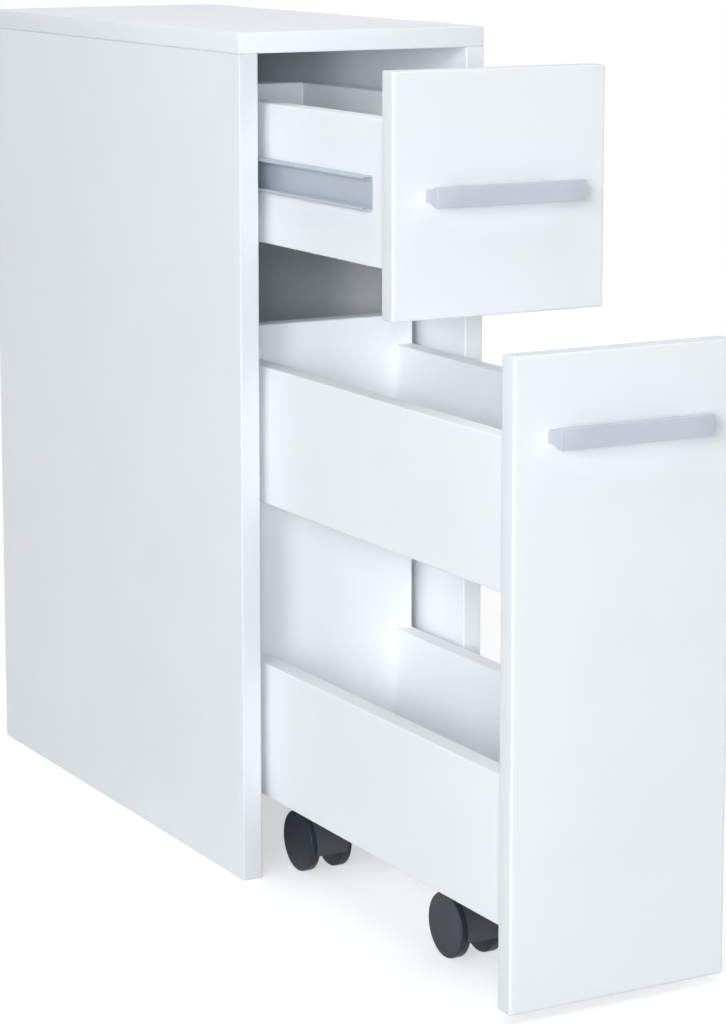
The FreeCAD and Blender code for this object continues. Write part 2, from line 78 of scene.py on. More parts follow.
class Slot(Enum):
    """The record's material slots."""

    WHITE_BOARD = "white_board"
    THIN_BOARD = "thin_board"
    HANDLE_METAL = "handle_metal"
    SLIDE_STEEL = "slide_steel"
    BRIGHT_STEEL = "bright_steel"
    ZINC = "zinc"
    DOWEL_WOOD = "dowel_wood"
    CAGE_PLASTIC = "cage_plastic"
    GUIDE_PLASTIC = "guide_plastic"
    CASTER_HOOD = "caster_hood"
    CASTER_WHEEL = "caster_wheel"


class Axis(Enum):
    """A direction in the part's frame, by its place in a vector."""

    X = 0
    Y = 1
    Z = 2


class Hand(Enum):
    """The two hands of a mirrored pair."""

    LEFT = "left"
    RIGHT = "right"


def opaque(colour: Colour) -> tuple[float, float, float, float]:
    """Adds a full alpha to a colour."""
    return (*colour, 1.0)


class NodeKit:
    """Adds and links the shader nodes of one node tree."""

    def __init__(self, tree: bpy.types.NodeTree) -> None:
        """Starts on a tree.

        Args:
            tree: The node tree of a material or a world.
        """
        self.tree = tree

    def add(
        self, kind: str, inputs: dict[str | int, object] | None = None, **settings: object
    ) -> bpy.types.Node:
        """Adds a node, links or sets its inputs and sets its options.

        Args:
            kind: The node's type.
            inputs: Values or sockets by the input's name or number.
            **settings: The node's own options.

        Returns:
            The new node.
        """
        node = self.tree.nodes.new(kind)
        for key, value in settings.items():
            setattr(node, key, value)
        for key, value in (inputs or {}).items():
            if isinstance(value, bpy.types.NodeSocket):
                self.tree.links.new(value, node.inputs[key])
            else:
                node.inputs[key].default_value = value
        return node

    def reckon(self, operation: str, first: object, second: object = 0.0) -> bpy.types.NodeSocket:
        """Reckons with one or two values.

        Args:
            operation: What is done with them.
            first: The first value or socket.
            second: The second, where the operation takes one.

        Returns:
            The result.
        """
        return self.add("ShaderNodeMath", {0: first, 1: second}, operation=operation).outputs[0]

    def grain(
        self, size: float, stretch: Stretch = EVEN, detail: float = 3.0
    ) -> bpy.types.NodeSocket:
        """Makes a noise in the piece's own space.

        Args:
            size: How far across a blotch is.
            stretch: How much longer it is along X, Y and Z.
            detail: How many finer layers it has.

        Returns:
            The noise's value.
        """
        place = self.add("ShaderNodeTexCoord")
        scale = tuple(1.0 / (size * factor) for factor in stretch)
        mapping = self.add("ShaderNodeMapping", {"Vector": place.outputs["Object"], "Scale": scale})
        inputs = {"Vector": mapping.outputs["Vector"], "Scale": 1.0, "Detail": detail}
        return self.add("ShaderNodeTexNoise", inputs).outputs["Fac"]

    def span(
        self, value: bpy.types.NodeSocket, low: float = 0.0, high: float = 1.0
    ) -> bpy.types.NodeSocket:
        """Maps the middle of a noise onto a range.

        Args:
            value: The noise.
            low: What its low end becomes.
            high: What its high end becomes.

        Returns:
            The mapped value.
        """
        source = {"Value": value, "From Min": NOISE_LOW, "From Max": NOISE_HIGH}
        ends = source | {"To Min": low, "To Max": high}
        return self.add("ShaderNodeMapRange", ends).outputs["Result"]

    def tint(
        self, factor: bpy.types.NodeSocket, first: Colour, second: Colour | bpy.types.NodeSocket
    ) -> bpy.types.NodeSocket:
        """Mixes two colours.

        Args:
            factor: The share of the second colour.
            first: The colour at 0.
            second: The colour at 1, or the socket that gives it.

        Returns:
            The mixed colour.
        """
        end = second if isinstance(second, bpy.types.NodeSocket) else opaque(second)
        ends = {0: factor, MIX_FIRST: opaque(first), MIX_SECOND: end}
        return self.add("ShaderNodeMix", ends, data_type="RGBA").outputs[MIX_COLOUR]

    def relief(
        self, height: bpy.types.NodeSocket, depth: float, strength: float
    ) -> bpy.types.NodeSocket:
        """Turns a height into a bumped normal.

        Args:
            height: The height, from 0 to 1.
            depth: How deep the relief is.
            strength: How much of it shows.

        Returns:
            The normal.
        """
        bump = self.add("ShaderNodeBump", {"Height": height, "Distance": depth, "Strength": strength})
        return bump.outputs["Normal"]

    def join(self, start: bpy.types.NodeSocket, node: bpy.types.Node, name: str) -> None:
        """Links a socket to a node's input."""
        self.tree.links.new(start, node.inputs[name])


def shaded(colour: Colour, factor: float) -> Colour:
    """Scales a colour's brightness.

    Args:
        colour: The colour.
        factor: What each channel is multiplied by.

    Returns:
        The scaled colour, at most 1 in each channel.
    """
    red, green, blue = (min(1.0, channel * factor) for channel in colour)
    return red, green, blue


@dataclass(frozen=True)
class Finish:
    """A surface finish, with the colour and sheen that every finish has."""

    name: str
    slot: Slot
    colour: Colour
    roughness: float
    gloss: float = 0.5

    def material(self) -> bpy.types.Material:
        """Returns the finish's material, made on its first use."""
        made = bpy.data.materials.get(self.name)
        if made is None:
            made = bpy.data.materials.new(self.name)
            made.use_nodes = True
            made.diffuse_color = opaque(self.colour)
            shader = made.node_tree.nodes["Principled BSDF"]
            shader.inputs["Base Color"].default_value = opaque(self.colour)
            shader.inputs["Roughness"].default_value = self.roughness
            shader.inputs["Specular IOR Level"].default_value = self.gloss
            self.dress(NodeKit(made.node_tree), shader)
        return made

    def dress(self, kit: NodeKit, shader: bpy.types.Node) -> None:
        """Adds the finish's own nodes; each kind of finish has its own."""
        raise NotImplementedError

    def shades(
        self, kit: NodeKit, share: bpy.types.NodeSocket, spread: float
    ) -> bpy.types.NodeSocket:
        """Mixes a darker and a lighter shade of the colour.

        Args:
            kit: The material's nodes.
            share: The share of the lighter shade.
            spread: How far each shade is from the colour.

        Returns:
            The colour.
        """
        return kit.tint(share, shaded(self.colour, 1.0 - spread), shaded(self.colour, 1.0 + spread))

    def sheen(
        self, kit: NodeKit, shader: bpy.types.Node, noise: bpy.types.NodeSocket, spread: float
    ) -> None:
        """Lets the roughness follow a noise.

        Args:
            kit: The material's nodes.
            shader: Its surface shader.
            noise: The noise.
            spread: How far the roughness goes to each side.
        """
        rough = kit.span(noise, self.roughness - spread, self.roughness + spread)
        kit.join(rough, shader, "Roughness")


@dataclass(frozen=True)
class Laminate(Finish):
    """Melamine paper pressed on board, with a fine pearl and a faint cloudiness."""

    cloud: float = 0.09
    cloud_depth: float = 0.012
    wear: float = 0.03
    pearl: float = 1.3 * MM
    pearl_depth: float = 0.02 * MM
    sheen_spread: float = 0.05

    def dress(self, kit: NodeKit, shader: bpy.types.Node) -> None:
        """Adds the cloudiness, the pearl and the uneven sheen.

        Args:
            kit: The material's nodes.
            shader: Its surface shader.
        """
        clouds = kit.span(kit.grain(self.cloud, detail=4.0))
        kit.join(self.cloudy(kit, clouds), shader, "Base Color")
        self.sheen(kit, shader, kit.grain(self.wear, detail=5.0), self.sheen_spread)
        pearl = kit.grain(self.pearl, detail=2.0)
        kit.join(kit.relief(pearl, self.pearl_depth, strength=0.5), shader, "Normal")

    def cloudy(self, kit: NodeKit, clouds: bpy.types.NodeSocket) -> bpy.types.NodeSocket:
        """Mixes the paper's darker and lighter shades."""
        return self.shades(kit, clouds, self.cloud_depth)


@dataclass(frozen=True)
class EdgeShadedLaminate(Laminate):
    """A laminated board whose narrow edges and rounded arrises carry painted shade: a duller band
    colour on every face that doesn't look across the board.
    """

    # The duller band colour is painted shade for the lit edges.
    band_shade_colour: Colour = (0.77, 0.78, 0.79)
    across: Axis = Axis.X
    facing: float = 0.97

    def cloudy(self, kit: NodeKit, clouds: bpy.types.NodeSocket) -> bpy.types.NodeSocket:
        """Puts painted shade, the band's duller colour, on the faces that don't look across the board.

        Args:
            kit: The material's nodes.
            clouds: The share of the paper's lighter shade.

        Returns:
            The colour.
        """
        normal = kit.add("ShaderNodeTexCoord").outputs["Normal"]
        parts = kit.add("ShaderNodeSeparateXYZ", {0: normal}).outputs
        steep = kit.reckon("ABSOLUTE", parts[self.across.value])
        face = kit.reckon("GREATER_THAN", steep, self.facing)
        return kit.tint(face, self.band_shade_colour, super().cloudy(kit, clouds))


@dataclass(frozen=True)
class Metal(Finish):
    """Drawn, rolled or plated metal with streaks along its working direction."""

    stretch: Stretch = EVEN
    streak: float = 0.35 * MM
    streak_depth: float = 0.01 * MM
    shade_spread: float = 0.04
    sheen_spread: float = 0.07
    metallic: float = 1.0

    def dress(self, kit: NodeKit, shader: bpy.types.Node) -> None:
        """Adds the streaks in colour, sheen and relief.

        Args:
            kit: The material's nodes.
            shader: Its surface shader.
        """
        shader.inputs["Metallic"].default_value = self.metallic
        streaks = kit.grain(self.streak, self.stretch, detail=4.0)
        kit.join(self.shades(kit, kit.span(streaks), self.shade_spread), shader, "Base Color")
        self.sheen(kit, shader, streaks, self.sheen_spread)
        kit.join(kit.relief(streaks, self.streak_depth, strength=0.4), shader, "Normal")


@dataclass(frozen=True)
class Moulded(Finish):
    """Injection-moulded plastic with a fine spark-eroded grain."""

    spark: float = 0.35 * MM
    spark_depth: float = 0.02 * MM
    flow: float = 0.02
    shade_spread: float = 0.08
    sheen_spread: float = 0.06

    def dress(self, kit: NodeKit, shader: bpy.types.Node) -> None:
        """Adds the flow marks and the fine grain.

        Args:
            kit: The material's nodes.
            shader: Its surface shader.
        """
        flow = kit.grain(self.flow, detail=3.0)
        kit.join(self.shades(kit, kit.span(flow), self.shade_spread), shader, "Base Color")
        self.sheen(kit, shader, flow, self.sheen_spread)
        spark = kit.grain(self.spark, detail=2.0)
        kit.join(kit.relief(spark, self.spark_depth, strength=0.4), shader, "Normal")


@dataclass(frozen=True)
class Timber(Finish):
    """Plain turned wood with a fine fibre."""

    fibre: float = 3.6 * MM
    fibre_depth: float = 0.05 * MM
    shade_spread: float = 0.18

    def dress(self, kit: NodeKit, shader: bpy.types.Node) -> None:
        """Adds the fibre in colour and relief.

        Args:
            kit: The material's nodes.
            shader: Its surface shader.
        """
        fibre = kit.grain(self.fibre, detail=6.0)
        dark = shaded(self.colour, 1.0 - self.shade_spread)
        kit.join(kit.tint(kit.span(fibre), dark, self.colour), shader, "Base Color")
        kit.join(kit.relief(fibre, self.fibre_depth, strength=0.5), shader, "Normal")


PAPER_WHITE: Colour = (0.89, 0.899, 0.908)
# A duller white for the fronts' edge bands: painted shade that tones down the light their rounded edges
# catch.
PAINTED_SHADE_BAND_WHITE: Colour = (0.80, 0.818, 0.835)
PAPER_GLOSS = 0.32

WHITE_BOARD = Laminate("white_melamine", Slot.WHITE_BOARD, PAPER_WHITE, 0.50, gloss=PAPER_GLOSS)
# The left side board's edges carry painted shade in a duller band colour.
SIDE_BOARD_PAINTED_SHADE = EdgeShadedLaminate("white_side_painted_shade_edges", Slot.WHITE_BOARD, PAPER_WHITE, 0.50, gloss=PAPER_GLOSS)
TOP_BAND = replace(WHITE_BOARD, name="white_top_band", roughness=0.46, sheen_spread=0.01)
# The fronts' edge bands carry painted shade in the duller band white.
PAINTED_SHADE_EDGE_BAND = replace(TOP_BAND, name="white_edge_band_painted_shade", colour=PAINTED_SHADE_BAND_WHITE)
FINISHES: dict[Slot, Finish] = {
    Slot.WHITE_BOARD: WHITE_BOARD,
    Slot.THIN_BOARD: replace(WHITE_BOARD, name="white_thin_board", slot=Slot.THIN_BOARD),
    Slot.HANDLE_METAL: Metal(
        "silver_handle", Slot.HANDLE_METAL, (0.56, 0.59, 0.655), 0.46, stretch=ALONG_X, metallic=0.35
    ),
    Slot.SLIDE_STEEL: Metal(
        "rolled_steel", Slot.SLIDE_STEEL, (0.52, 0.56, 0.63), 0.50, stretch=ALONG_Y, metallic=0.45
    ),
    Slot.BRIGHT_STEEL: Metal("ground_steel", Slot.BRIGHT_STEEL, (0.72, 0.73, 0.75), 0.25),
    Slot.ZINC: Metal("zinc_plate", Slot.ZINC, (0.62, 0.64, 0.67), 0.35),
    Slot.DOWEL_WOOD: Timber("beech_dowel", Slot.DOWEL_WOOD, (0.62, 0.44, 0.27), 0.6),
    Slot.CAGE_PLASTIC: Moulded("grey_cage", Slot.CAGE_PLASTIC, (0.30, 0.31, 0.33), 0.45),
    Slot.GUIDE_PLASTIC: Moulded("pale_guide", Slot.GUIDE_PLASTIC, (0.75, 0.76, 0.78), 0.4),
    Slot.CASTER_HOOD: Moulded("charcoal_hood", Slot.CASTER_HOOD, (0.043, 0.047, 0.055), 0.45),
    Slot.CASTER_WHEEL: Moulded(
        "charcoal_wheel", Slot.CASTER_WHEEL, (0.018, 0.022, 0.033), 0.42, gloss=0.34
    ),
}


def smooth(mesh: bpy.types.Mesh, angle: float = 28.0) -> bpy.types.Mesh:
    """Shades a mesh smooth, apart from its sharp edges.

    Args:
        mesh: The mesh.
        angle: The turn in degrees from which an edge counts as sharp.

    Returns:
        The same mesh.
    """
    mesh.shade_smooth()
    mesh.set_sharp_from_angle(angle=math.radians(angle))
    return mesh


def lofted(name: str, rings: list[Ring], banded: range | None = None) -> bpy.types.Mesh:
    """Skins closed rings of points in order and caps both ends.

    Args:
        name: The mesh's name.
        rings: The rings, all with the same number of points.
        banded: The gaps between rings whose faces take the second material.

    Returns:
        The closed mesh.
    """
    shell = bmesh.new()
    rows = [[shell.verts.new(point) for point in ring] for ring in rings]
    for step, (low, high) in enumerate(zip(rows, rows[1:])):
        for i in range(len(low)):
            j = (i + 1) % len(low)
            face = shell.faces.new((low[i], low[j], high[j], high[i]))
            face.material_index = 1 if banded and step in banded else 0
    shell.faces.new(rows[0])
    shell.faces.new(rows[-1])
    bmesh.ops.recalc_face_normals(shell, faces=shell.faces)
    mesh = bpy.data.meshes.new(name)
    shell.to_mesh(mesh)
    shell.free()
    return smooth(mesh)


def arc(centre: Vector, radius: float, start: float, end: float, steps: int) -> list[Vector]:
    """Points along an arc in a plane.

    Args:
        centre: The arc's centre, in two coordinates.
        radius: Its radius.
        start: The angle of its first point, in degrees.
        end: The angle of its last point.
        steps: How many pieces it is cut into.

    Returns:
        The points, first and last included.
    """
    turns = [math.radians(start + (end - start) * i / steps) for i in range(steps + 1)]
    return [centre + radius * Vector((math.cos(turn), math.sin(turn))) for turn in turns]


def rounded_outline(low: Vector, high: Vector, radius: float, steps: int = 5) -> list[Vector]:
    """A rectangle with round corners.

    Args:
        low: Its lowest corner, in two coordinates.
        high: Its highest corner.
        radius: The radius of its corners.
        steps: How many pieces each corner is cut into.

    Returns:
        The outline's points, anticlockwise.
    """
    corners = (
        (high.x - radius, high.y - radius),
        (low.x + radius, high.y - radius),
        (low.x + radius, low.y + radius),
        (high.x - radius, low.y + radius),
    )
    points = []
    for quarter, corner in enumerate(corners):
        start = QUARTER_TURN * quarter
        points += arc(Vector(corner), radius, start, start + QUARTER_TURN, steps)
    return points


class Bench:
    """Puts finished pieces into the scene, each riding on its body."""

    def __init__(self) -> None:
        """Notes which body holds each node."""
        bodies = frame["record"]["behaviour"]["bodies"]
        self.body_of = {node: body for body, nodes in bodies.items() for node in nodes}

    def refinish(self, node: str, finish: Finish) -> None:
        """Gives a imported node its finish.

        Args:
            node: The node's name.
            finish: Its finish.
        """
        part = frame["nodes"][node]
        part.data.materials.clear()
        part.data.materials.append(finish.material())
        LOG.info("node %s takes %s", node, finish.name)

    def put(self, name: str, mesh: bpy.types.Mesh, node: str, *finishes: Finish) -> None:
        """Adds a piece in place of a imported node, riding on that node's body.

        Args:
            name: The piece's name.
            mesh: Its mesh, in the part's frame.
            node: The node that it stands for.
            *finishes: Its finishes, in the order of the mesh's material numbers.
        """
        piece = bpy.data.objects.new(name, mesh)
        bpy.context.scene.collection.objects.link(piece)
        for finish in finishes:
            mesh.materials.append(finish.material())
        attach(piece, self.body_of[node])
        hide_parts(node)
        LOG.info("piece %s stands for %s on %s", name, node, self.body_of[node])


def softened(
    mesh: bpy.types.Mesh, width: float, segments: int = 3, sharp: float = 35.0
) -> bpy.types.Mesh:
    """Rounds the sharp edges of a mesh.

    Args:
        mesh: The mesh with sharp edges.
        width: How wide the rounding is.
        segments: How many pieces it is cut into.
        sharp: The turn in degrees from which an edge is rounded.

    Returns:
        A new mesh with round edges.
    """
    holder = bpy.data.objects.new(mesh.name + "_blank", mesh)
    bpy.context.scene.collection.objects.link(holder)
    bevel = holder.modifiers.new("round", "BEVEL")
    bevel.width = width
    bevel.segments = segments
    bevel.limit_method = "ANGLE"
    bevel.angle_limit = math.radians(sharp)
    ready = holder.evaluated_get(bpy.context.evaluated_depsgraph_get())
    rounded = bpy.data.meshes.new_from_object(ready)
    bpy.data.objects.remove(holder)
    rounded.name = mesh.name + "_round"
    return smooth(rounded)


@dataclass
class BandedBoard:
    """A board with its edges closed by a band, and a hair-line groove where the band meets the face."""

    node: str
    edge_radius: float
    # By default the band takes the duller edge-band white, painted shade on the rounded edges.
    band_finish: Finish = PAINTED_SHADE_EDGE_BAND
    band: float = 2.4 * MM
    groove: float = 0.07 * MM
    least_corner: float = 0.1 * MM
    bends: int = 5

    def thin_axis(self) -> Axis:
        """Returns the axis across the board."""
        low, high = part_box(self.node)
        return min(Axis, key=lambda axis: (high - low)[axis.value])

    def build(self) -> bpy.types.Mesh:
        """Builds the board at its node's place.

        Returns:
            The mesh; its second material is the band.
        """
        low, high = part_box(self.node)
        across = self.thin_axis().value
        first, second = (i for i in range(3) if i != across)
        thick = high[across] - low[across]
        bed, brink = self.band + self.groove, self.band + 2 * self.groove
        half = [(brink, 0.0), (bed, self.groove), (self.band, 0.0)]
        centre = Vector((self.edge_radius, self.edge_radius))
        for turn in arc(centre, self.edge_radius, 270.0, 180.0, self.bends):
            half.append((turn.x, turn.y))
        profile = half + [(inset, thick - depth) for inset, depth in reversed(half)]
        rings = []
        for inset, depth in profile:
            start = Vector((low[first] + inset, low[second] + inset))
            end = Vector((high[first] - inset, high[second] - inset))
            corner = max(self.edge_radius - inset, self.least_corner)
            ring = []
            for spot in rounded_outline(start, end, corner):
                point = Vector((0.0, 0.0, 0.0))
                point[first] = spot.x
                point[second] = spot.y
                point[across] = low[across] + depth
                ring.append(point)
            rings.append(ring)
        skipped = len(half) - 1 - self.bends // 2
        banded = range(skipped, len(profile) - 1 - skipped)
        return lofted(self.node + "_board", rings, banded)

    def dress(self, bench: Bench) -> None:
        """Puts the board in its node's place.

        Args:
            bench: Where pieces are put.
        """
        bench.put(self.node + "_board", self.build(), self.node, WHITE_BOARD, self.band_finish)


@dataclass
class BarHandle:
    """A square bar on two flared feet."""

    node: str
    bar: float = 4.5 * MM
    foot_width: float = 16.0 * MM
    foot_height: float = 8.6 * MM
    neck: float = 4.5 * MM
    softness: float = 0.4 * MM
    hollow: float = 1.8
    hair: float = 1e-9
    bends: int = 8

    def profile(self, out: float, height: float) -> list[Vector]:
        """The handle's end seen from the side, as points out from the front and up.

        Args:
            out: How far the handle stands out.
            height: How high its bar is.

        Returns:
            The outline, from the bar's front round over the foot.
        """
        back = out - self.bar
        flare = [Vector((back, height / 2)), Vector((self.neck, self.foot_height / 2))]
        curve = [self.eased(flare, i / self.bends) for i in range(1, self.bends)]
        upper = [Vector((out, height / 2)), flare[0], *curve, flare[1]]
        upper.append(Vector((0.0, self.foot_height / 2)))
        return upper + [Vector((spot.x, -spot.y)) for spot in reversed(upper)]

    def eased(self, ends: list[Vector], share: float) -> Vector:
        """A point on the foot's hollow flare.

        Args:
            ends: The flare's upper and lower ends.
            share: How far along it the point is.

        Returns:
            The point.
        """
        run = ends[0].x + (ends[1].x - ends[0].x) * share
        drop = ends[1].y + (ends[0].y - ends[1].y) * (1.0 - share) ** self.hollow
        return Vector((run, drop))

    def build(self) -> bpy.types.Mesh:
        """Builds the handle at its node's place.

        Returns:
            The mesh with rounded edges.
        """
        low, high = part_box(self.node)
        out, height = high.y - low.y, high.z - low.z
        middle = (low.z + high.z) / 2
        full = self.profile(out, height)
        back = out - self.bar
        # Between the feet, the foot's points lie flat on the bar's back, spread over its height.
        lean = []
        for i, spot in enumerate(full):
            share = (i - 1) / (len(full) - 3)
            level = Vector((back, height / 2 - height * share))
            lean.append(spot if spot.x > back - self.hair else level)
        rings = []
        for x, outline in (
            (low.x, full),
            (low.x + self.foot_width, full),
            (low.x + self.foot_width, lean),
            (high.x - self.foot_width, lean),
            (high.x - self.foot_width, full),
            (high.x, full),
        ):
            rings.append([Vector((x, high.y - spot.x, middle + spot.y)) for spot in outline])
        return softened(lofted(self.node + "_bar", rings), self.softness)

    def dress(self, bench: Bench) -> None:
        """Puts the handle in its node's place.

        Args:
            bench: Where pieces are put.
        """
        bench.put(self.node + "_bar", self.build(), self.node, FINISHES[Slot.HANDLE_METAL])


@dataclass
class InnerSlide:
    """The drawer's member of a ball slide: a rolled web with a curled race along each edge."""

    hand: Hand
    sheet: float = 0.9 * MM
    bend: float = 1.3 * MM
    curl: float = 0.75 * MM
    curl_start: float = -120.0
    sharp: float = 50.0
    bends: int = 6
    curl_bends: int = 12

    def middle_line(self, depth: float, height: float) -> list[Vector]:
        """The middle of the sheet, from one curl round the web to the other.

        Args:
            depth: How far the member reaches out from the drawer side.
            height: How high it is.

        Returns:
            The points, out from the drawer side and up.
        """
        skin = self.sheet / 2
        flange = height / 2 - skin
        eye = Vector((depth - skin - self.curl, flange - self.curl))
        upper = arc(eye, self.curl, self.curl_start, 90.0, self.curl_bends)
        corner = Vector((skin + self.bend, flange - self.bend))
        upper += arc(corner, self.bend, 90.0, 180.0, self.bends)
        return upper + [Vector((spot.x, -spot.y)) for spot in reversed(upper)]

    def section(self, depth: float, height: float) -> list[tuple[Vector, Vector]]:
        """The cut face of the sheet.

        Args:
            depth: How far the member reaches out from the drawer side.
            height: How high it is.

        Returns:
            The two faces' points, pair by pair along the sheet.
        """
        line = self.middle_line(depth, height)
        pairs = []
        for i, spot in enumerate(line):
            run = line[min(i + 1, len(line) - 1)] - line[max(i - 1, 0)]
            normal = Vector((-run.y, run.x)).normalized() * self.sheet / 2
            pairs.append((spot - normal, spot + normal))
        return pairs

    def build(self) -> bpy.types.Mesh:
        """Builds the member at its node's place.

        Returns:
            The mesh.
        """
        low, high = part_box("slide_inner_" + self.hand.value)
        middle = (low.z + high.z) / 2
        base, outward = (high.x, -1.0) if self.hand is Hand.LEFT else (low.x, 1.0)
        shell = bmesh.new()
        rings = []
        for inside, outside in self.section(high.x - low.x, high.z - low.z):
            corners = ((inside, low.y), (outside, low.y), (outside, high.y), (inside, high.y))
            ring = [Vector((base + outward * spot.x, y, middle + spot.y)) for spot, y in corners]
            rings.append([shell.verts.new(point) for point in ring])
        for near, far in zip(rings, rings[1:]):
            for i in range(len(near)):
                j = (i + 1) % len(near)
                shell.faces.new((near[i], near[j], far[j], far[i]))
        shell.faces.new(rings[0])
        shell.faces.new(rings[-1])
        bmesh.ops.recalc_face_normals(shell, faces=shell.faces)
        mesh = bpy.data.meshes.new("rolled_slide_" + self.hand.value)
        shell.to_mesh(mesh)
        shell.free()
        return smooth(mesh, self.sharp)

    def dress(self, bench: Bench) -> None:
        """Puts the member in its node's place.

        Args:
            bench: Where pieces are put.
        """
        node = "slide_inner_" + self.hand.value
        bench.put("rolled_slide_" + self.hand.value, self.build(), node, FINISHES[Slot.SLIDE_STEEL])


@dataclass
class CasterWheel:
    """A moulded wheel: a faintly dished disc with a fine round rim, and a plain tread."""

    node: str
    outward: float
    rim: float = 0.7 * MM
    shoulder: float = 1.0 * MM
    bore: float = 3.2 * MM
    dish: float = 0.35 * MM
    hub_share: float = 0.1
    bends: int = 6
    dish_steps: int = 6
    segments: int = 96

    def profile(self, radius: float, width: float) -> list[Vector]:
        """Half the wheel's cut, from the bore over the tread to the middle of the disc.

        Args:
            radius: The wheel's radius.
            width: Its width.

        Returns:
            Points along the axle and out from it.
        """
        points = [Vector((0.0, self.bore))]
        inner = Vector((self.shoulder, radius - self.shoulder))
        points += arc(inner, self.shoulder, 180.0, 90.0, self.bends)
        outer = Vector((width - self.rim, radius - self.rim))
        points += arc(outer, self.rim, 90.0, 0.0, self.bends)
        for step in reversed(range(self.dish_steps)):
            share = (step + self.hub_share) / self.dish_steps
            sunk = self.dish * (1.0 - share ** 2)
            points.append(Vector((width - sunk, (radius - self.rim) * share)))
        return points

    def build(self) -> bpy.types.Mesh:
        """Builds the wheel at its node's place.

        Returns:
            The mesh.
        """
        low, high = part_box(self.node)
        axle = (low + high) / 2
        inside = low.x if self.outward > 0 else high.x
        rings = []
        for spot in self.profile((high.z - low.z) / 2, high.x - low.x):
            ring = []
            for i in range(self.segments):
                turn = 2.0 * math.pi * i / self.segments
                across = Vector((0.0, math.cos(turn), math.sin(turn))) * spot.y
                ring.append(Vector((inside + self.outward * spot.x, axle.y, axle.z)) + across)
            rings.append(ring)
        return lofted(self.node.replace("wheel", "disc_wheel"), rings)

    def dress(self, bench: Bench) -> None:
        """Puts the wheel in its node's place.

        Args:
            bench: Where pieces are put.
        """
        name = self.node.replace("wheel", "disc_wheel")
        bench.put(name, self.build(), self.node, FINISHES[Slot.CASTER_WHEEL])


@dataclass
class Cabinet:
    """The whole organizer, taken apart into its dressed sub-assemblies."""

    front_radius: float = 1.5 * MM
    carcass_radius: float = 1.0 * MM

    def finish_nodes(self, bench: Bench) -> None:
        """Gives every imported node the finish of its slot.

        Args:
            bench: Where pieces are put.
        """
        for part in frame["record"]["subparts"]:
            bench.refinish(part["node"], FINISHES[Slot(part["material_slot"])])
        # The left side's front edge is lit most, so its edges carry painted shade in the duller band
        # colour.
        bench.refinish("side_left", SIDE_BOARD_PAINTED_SHADE)

    def dress(self, bench: Bench) -> None:
        """Builds and places all the dressed pieces.

        Args:
            bench: Where pieces are put.
        """
        self.finish_nodes(bench)
        # The fronts' edge bands carry painted shade in a duller white.
        for node in ("drawer_front", "pullout_front"):
            BandedBoard(node, self.front_radius).dress(bench)
        BandedBoard("top", self.carcass_radius, TOP_BAND).dress(bench)
        for node in ("drawer_handle", "pullout_handle"):
            BarHandle(node).dress(bench)
        for hand in Hand:
            InnerSlide(hand).dress(bench)
        for node in frame["nodes"]:
            if node.startswith("wheel_"):
                CasterWheel(node, 1.0 if node.endswith("_r") else -1.0).dress(bench)


@dataclass(frozen=True)
class Lamp:
    """A soft lamp, square or tall."""

    name: str
    place: Vector
    size: float
    power: float
    colour: Colour = PLAIN_LIGHT
    tall: float = 1.0
    aim: Vector = Vector((0.0, -0.45, 0.30))

    def hang(self) -> None:
        """Puts the lamp in the scene."""
        data = bpy.data.lights.new(self.name, "AREA")
        data.shape = "RECTANGLE"
        data.size = self.size
        data.size_y = self.size * self.tall
        data.energy = self.power
        data.color = self.colour
        lamp = bpy.data.objects.new(self.name, data)
        lamp.location = self.place
        lamp.rotation_euler = (self.aim - self.place).to_track_quat("-Z", "Y").to_euler()
        lamp.visible_camera = False
        bpy.context.scene.collection.objects.link(lamp)
        LOG.info("lamp %s at %.1f W", self.name, self.power)


